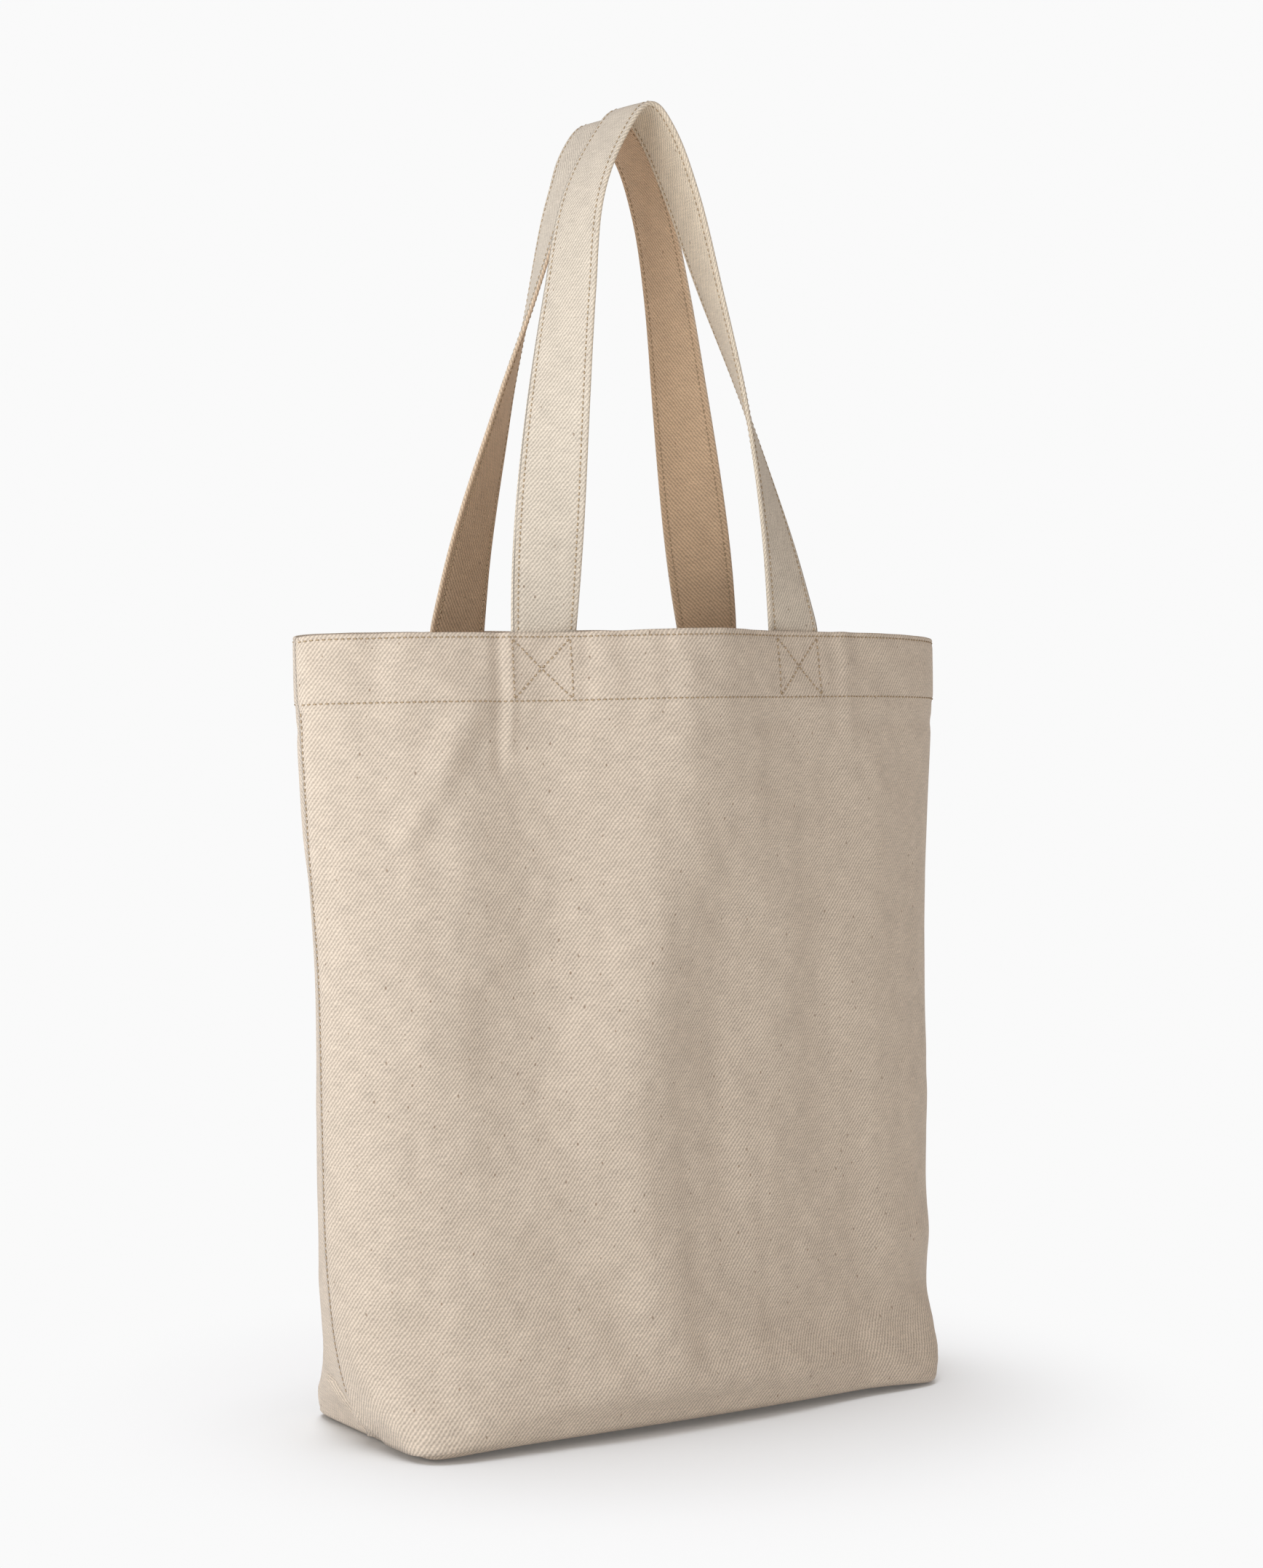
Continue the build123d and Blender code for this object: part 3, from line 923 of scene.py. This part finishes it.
def new_material(name):
    """A material, its node tree and its shader."""
    material = bpy.data.materials.new(name)
    material.use_nodes = True
    return material, material.node_tree, material.node_tree.nodes["Principled BSDF"]


def node(tree, kind, **settings):
    """A new node with its settings."""
    return configure(tree.nodes.new(kind), **settings)


def feed(tree, made, values):
    """Sets or links a node's inputs: numbers and colours are set, outputs of other nodes are linked."""
    for key, value in values.items():
        if isinstance(value, bpy.types.NodeSocket):
            tree.links.new(value, made.inputs[key])
        else:
            made.inputs[key].default_value = value
    return made.outputs[0]


def math_node(tree, operation, *values):
    """The result of one sum on outputs of other nodes or numbers."""
    return feed(tree, node(tree, "ShaderNodeMath", operation=operation), dict(enumerate(values)))


def times(tree, a, b):
    """The product of two outputs or numbers."""
    return math_node(tree, "MULTIPLY", a, b)


def plus(tree, a, b):
    """The sum of two outputs or numbers."""
    return math_node(tree, "ADD", a, b)


def mix_colour(tree, share, a, b, blend="MIX"):
    """Two colours mixed by a share."""
    made = node(tree, "ShaderNodeMix", data_type="RGBA", blend_type=blend)
    colours = {i: (*c, 1) if isinstance(c, tuple) else c for i, c in ((6, a), (7, b))}
    feed(tree, made, {0: share, **colours})
    return made.outputs[2]


def noise(tree, place, scale, detail=2.0, roughness=0.5, dimensions="2D"):
    """Cloudy variation either side of zero."""
    made = node(tree, "ShaderNodeTexNoise", noise_dimensions=dimensions)
    values = {"Vector": place, "Scale": scale, "Detail": detail, "Roughness": roughness}
    return math_node(tree, "SUBTRACT", feed(tree, made, values), 0.5)


def stretched(tree, cloth, scale, turn=0.0):
    """Cloth coordinates scaled across and up, then turned."""
    values = {"Vector": cloth, "Scale": (*scale, 1), "Rotation": (0, 0, turn)}
    return feed(tree, node(tree, "ShaderNodeMapping"), values)


def painted_light_share(tree):
    """The share of painted light and shade stored on a piece's points as its tone."""
    return node(tree, "ShaderNodeAttribute", attribute_name="tone").outputs["Fac"]


def add_bump(tree, shader, height, distance):
    """Fine relief on a shader."""
    bump = feed(tree, node(tree, "ShaderNodeBump"), {"Height": height, "Distance": distance})
    feed(tree, shader, {"Normal": bump})


def twill(tree, cloth):
    """Slanting ribs crossed by a weaker set, a little out of line, from -1 to 1."""
    split = node(tree, "ShaderNodeSeparateXYZ")
    feed(tree, split, {"Vector": cloth})
    x = times(tree, split.outputs[0], 2 * pi / TWILL_ACROSS)
    y = times(tree, split.outputs[1], 2 * pi / TWILL_UP)
    shift = times(tree, noise(tree, cloth, WOBBLE_SCALE), WEAVE_WOBBLE)
    rib = math_node(tree, "SINE", plus(tree, math_node(tree, "SUBTRACT", x, y), shift))
    cross = math_node(tree, "SINE", plus(tree, plus(tree, x, y), shift))
    return plus(tree, times(tree, rib, RIB_SHARE), times(tree, cross, 1 - RIB_SHARE))


def husk_flecks(tree, cloth, share):
    """A mask of the cotton's husk flecks, in a share of the cells of a grid; most are small."""
    cells = node(tree, "ShaderNodeTexVoronoi", voronoi_dimensions="2D")
    feed(tree, cells, {"Vector": stretched(tree, cloth, FLECK_SCALE, FLECK_TURN), "Scale": 1.0})
    draw = node(tree, "ShaderNodeSeparateColor")
    feed(tree, draw, {"Color": cells.outputs["Color"]})
    chosen = math_node(tree, "LESS_THAN", draw.outputs[0], share)
    size = times(tree, math_node(tree, "POWER", draw.outputs[1], 3.0), FLECK_SIZE)
    return times(tree, chosen, math_node(tree, "LESS_THAN", cells.outputs["Distance"], size))


def canvas_material(name, colour, fleck_share=0.75, inner=None, coordinates=None):
    """Twill canvas with slubs, patches of tone and husk flecks.

    The inner colour, painted shade and warm bounce light on a strap's inside and edges, shows where
    the piece's tone is one. A piece without cloth coordinates uses the named texture coordinates.
    """
    material, tree, shader = new_material(name)
    if coordinates:
        cloth = node(tree, "ShaderNodeTexCoord").outputs[coordinates]
    else:
        cloth = node(tree, "ShaderNodeUVMap", uv_map="cloth").outputs[0]
    weave = twill(tree, cloth)
    slubs = noise(tree, stretched(tree, cloth, SLUB_SCALE), 1.0, detail=1.0)
    patches = noise(tree, cloth, PATCH_SCALE, detail=5.0, roughness=0.62)
    tone = plus(tree, 1.0, times(tree, weave, WEAVE_CONTRAST))
    tone = plus(tree, tone, times(tree, patches, PATCH_CONTRAST))
    tone = plus(tree, tone, times(tree, slubs, SLUB_CONTRAST))
    shades = feed(tree, node(tree, "ShaderNodeCombineColor"), {i: tone for i in range(3)})
    # Painted shade and warm bounce light on a strap's inside and edges
    if inner:
        colour = mix_colour(tree, painted_light_share(tree), colour, inner)
    plain = mix_colour(tree, 1.0, colour, shades, "MULTIPLY")
    flecks = times(tree, husk_flecks(tree, cloth, fleck_share), FLECK_STRENGTH)
    feed(tree, shader, {
        "Base Color": mix_colour(tree, flecks, plain, FLECK_COLOUR),
        "Roughness": plus(tree, 0.86, times(tree, weave, 0.06)),
        "Sheen Weight": 0.15,
        "Sheen Roughness": 0.6,
        "Specular IOR Level": 0.25,
    })
    add_bump(tree, shader, plus(tree, weave, times(tree, slubs, 0.5)), CANVAS_BUMP)
    return material


def thread_material(name, colour, hole_shade):
    """Cotton thread, with painted shade where it dives into the needle holes in the cloth."""
    material, tree, shader = new_material(name)
    place = node(tree, "ShaderNodeTexCoord").outputs["Object"]
    fuzz = noise(tree, place, FUZZ_SCALE, dimensions="3D")
    # Share of painted shade at the needle holes, with some fuzz
    share = plus(tree, painted_light_share(tree), times(tree, fuzz, 0.3))
    feed(tree, shader, {
        "Base Color": mix_colour(tree, share, colour, hole_shade),
        "Roughness": plus(tree, 0.8, times(tree, fuzz, 0.2)),
    })
    add_bump(tree, shader, fuzz, THREAD_BUMP)
    return material


# -------------------- build


def finish_piece(piece, material, slot, *replaced):
    """Gives a piece its material and hides the CAD nodes it stands for; the slot is not used."""
    piece.data.materials.append(material)
    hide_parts(*replaced)


def make_panel(name, settled, canvas):
    """One panel with its turned hem."""
    panel = Panel(name)
    panel.shape(panel_relief(panel), settled)
    cloth = panel.make(f"{name}_panel_cloth")
    finish_piece(cloth, canvas, "canvas", f"{name}_panel", f"{name}_hem")
    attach(cloth, "bag")
    return panel


def sew_bag(name, rows, thread):
    """Rows of stitches on the bag, in place of the CAD stitching of the same name."""
    stitches = make_stitching(f"{name}_stitches", rows)
    finish_piece(stitches, thread, "thread", f"{name}_stitching")
    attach(stitches, "bag")


def make_handle(panel, canvas, thread):
    """One strap with its topstitching, and its sewn ends."""
    handle = f"{panel.name}_handle"
    strap, frames = make_strap(panel)
    finish_piece(strap, canvas, "strap_canvas", handle, *(f"{handle}_{end}_end" for end in ENDS))
    stitches = make_stitching(f"{panel.name}_strap_stitches", strap_rows(*frames))
    finish_piece(stitches, thread, "thread", f"{handle}_stitching")
    mouth = panel.side * wall_depth(strap_x(1), BAG_HEIGHT, STRAP_INSET)
    for piece in (strap, stitches):
        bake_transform(piece)
    for end_name, end_side in ENDS.items():
        sew_bag(f"{panel.name}_{end_name}_cross", cross_rows(panel, end_side), thread)


def build():
    """The whole bag."""
    canvas = canvas_material("canvas", CANVAS_COLOUR)
    thread = thread_material("thread", THREAD_COLOUR, HOLE_PAINTED_SHADE)
    settled = SettledWalls()
    panels = {name: make_panel(name, settled, canvas) for name in SIDES}
    sew_bag("hem_lower", mouth_rows(panels, HEM_STITCH_HEIGHT), thread)
    sew_bag("hem_edge", mouth_rows(panels, EDGE_STITCH_HEIGHT), thread)
    for end, end_side in ENDS.items():
        sew_bag(f"{end}_side", [side_row(panels["front"], end_side)], thread)
    for name, panel in panels.items():
        strap_canvas = canvas_material(f"{name}_strap_canvas", STRAP_COLOUR, 0.5, STRAP_INSIDE_PAINTED_LIGHT[name])
        make_handle(panel, strap_canvas, thread)
    seam_canvas = canvas_material("seam_cloth", CANVAS_COLOUR, coordinates="Object")
    for seam in BODY_SEAMS:
        for slot in bpy.data.objects[seam].material_slots:
            slot.material = seam_canvas


# -------------------- studio

# The camera, solved from the photograph's outline: level, at the height of the mouth
CAMERA_TURN = radians(32.6)
CAMERA_DISTANCE = 1.601
CAMERA_LENS = 74.1
CAMERA_SENSOR = 36
CAMERA_SHIFT = -0.0963

# The main light: a large softbox to the left of the camera, aimed at the upper part of the bag
KEY_TURN = radians(69)
KEY_DISTANCE = 1.05
KEY_HEIGHT = 0.60
KEY_AIM_HEIGHT = 0.7 * BAG_HEIGHT
KEY_SIZE = 0.9
KEY_ENERGY = 10.2
KEY_COLOUR = (0.925, 1.0, 1.08)

# The light from above, which gives the bag its shadow on the floor
OVERHEAD_ENERGY = 1.7
OVERHEAD_SPREAD = radians(40)
OVERHEAD_TOWARDS = (-0.05, 0.08, 1)
OVERHEAD_COLOUR = (1.0, 0.99, 0.985)

SKY_COLOUR = (1, 0.905, 0.83)
SKY_STRENGTH = 0.475

# Floor and backdrop: the floor fades into the backdrop's even glow between two distances
FLOOR_COLOUR = (0.86, 0.905, 0.955)
FLOOR_GLOW = 0.05
FLOOR_RADIUS = 12
FLOOR_DROP = 0.05 * MM
FLOOR_FADE_START = 0.15
FLOOR_FADE_END = 0.31
BACKDROP_GLOW = 0.955
BACKDROP_RADIUS = 11.5


def add_object(name, data):
    """A camera or lamp in the scene."""
    added = bpy.data.objects.new(name, data)
    bpy.context.collection.objects.link(added)
    return added


def make_camera():
    """The camera of the photograph."""
    data = bpy.data.cameras.new("camera")
    configure(data, lens=CAMERA_LENS, sensor_width=CAMERA_SENSOR, shift_y=CAMERA_SHIFT)
    camera = add_object("camera", data)
    ahead = Vector((sin(CAMERA_TURN), cos(CAMERA_TURN), 0))
    camera.location = ahead * -CAMERA_DISTANCE + Vector((0, 0, BAG_HEIGHT))
    camera.rotation_euler = ahead.to_track_quat("-Z", "Y").to_euler()
    bpy.context.scene.camera = camera


def stage_material(name, diffuse, glow):
    """A dull surface that glows evenly."""
    material, tree, shader = new_material(name)
    feed(tree, shader, {
        "Base Color": (*diffuse, 1),
        "Roughness": 0.9,
        "Specular IOR Level": 0.0,
        "Emission Color": (1, 1, 1, 1),
        "Emission Strength": glow,
    })
    return material


def floor_material():
    """Pale floor that takes the bag's shadow near it and melts into the backdrop further off."""
    material = stage_material("floor", FLOOR_COLOUR, FLOOR_GLOW)
    tree = material.node_tree
    place = node(tree, "ShaderNodeTexCoord").outputs["Object"]
    length = node(tree, "ShaderNodeVectorMath", operation="LENGTH")
    feed(tree, length, {0: place})
    fade = feed(tree, node(tree, "ShaderNodeMapRange", interpolation_type="SMOOTHSTEP"), {
        "Value": length.outputs["Value"],
        "From Min": FLOOR_FADE_START,
        "From Max": FLOOR_FADE_END,
    })
    glow = feed(tree, node(tree, "ShaderNodeEmission"), {"Strength": BACKDROP_GLOW})
    near = tree.nodes["Principled BSDF"].outputs[0]
    surface = feed(tree, node(tree, "ShaderNodeMixShader"), {0: fade, 1: near, 2: glow})
    tree.links.new(surface, tree.nodes["Material Output"].inputs["Surface"])
    return material


def stage_piece(name, material):
    """Makes the mesh just added a part of the stage."""
    piece = bpy.context.object
    piece.name = name
    piece.data.materials.append(material)
    return piece


def make_floor():
    """A disc just under the bag."""
    bpy.ops.mesh.primitive_circle_add(vertices=96, radius=FLOOR_RADIUS, fill_type="NGON",
                                      location=(0, 0, -FLOOR_DROP))
    return stage_piece("floor", floor_material())


def make_backdrop():
    """A glowing ball round everything, which only the camera sees."""
    bpy.ops.mesh.primitive_uv_sphere_add(radius=BACKDROP_RADIUS, segments=64, ring_count=32)
    backdrop = stage_piece("backdrop", stage_material("backdrop", (0, 0, 0), BACKDROP_GLOW))
    rays = ("diffuse", "glossy", "transmission", "shadow")
    configure(backdrop, **{f"visible_{ray}": False for ray in rays})


def make_sky():
    """Even warm light from all round."""
    world = bpy.data.worlds.new("world")
    world.use_nodes = True
    background = world.node_tree.nodes["Background"]
    feed(world.node_tree, background, {"Color": (*SKY_COLOUR, 1), "Strength": SKY_STRENGTH})
    bpy.context.scene.world = world


def make_lamp(name, kind, energy, colour, towards, pieces, **settings):
    """A lamp in one direction from the bag, which lights these pieces and nothing else."""
    light = bpy.data.lights.new(name, kind)
    lamp = add_object(name, configure(light, energy=energy, color=colour, **settings))
    lamp.rotation_euler = towards.to_track_quat("Z", "Y").to_euler()
    lit = bpy.data.collections.new(f"lit_by_{name}")
    for piece in pieces:
        lit.objects.link(piece)
    lamp.light_linking.receiver_collection = lit
    return lamp


def make_studio():
    """The stage and the lights; the overhead light falls on the floor, the softbox on the bag."""
    bag = [piece for piece in bpy.context.scene.objects if piece.type == "MESH"]
    floor = make_floor()
    make_backdrop()
    make_sky()
    make_lamp("overhead", "SUN", OVERHEAD_ENERGY, OVERHEAD_COLOUR, Vector(OVERHEAD_TOWARDS),
              [floor], angle=OVERHEAD_SPREAD)
    place = Vector((-sin(KEY_TURN) * KEY_DISTANCE, -cos(KEY_TURN) * KEY_DISTANCE, KEY_HEIGHT))
    towards = place - Vector((0, 0, KEY_AIM_HEIGHT))
    softbox = make_lamp("softbox", "AREA", KEY_ENERGY, KEY_COLOUR, towards, bag, size=KEY_SIZE)
    softbox.location = place
    bpy.context.scene.view_settings.view_transform = "Standard"


build()
make_camera()
make_studio()
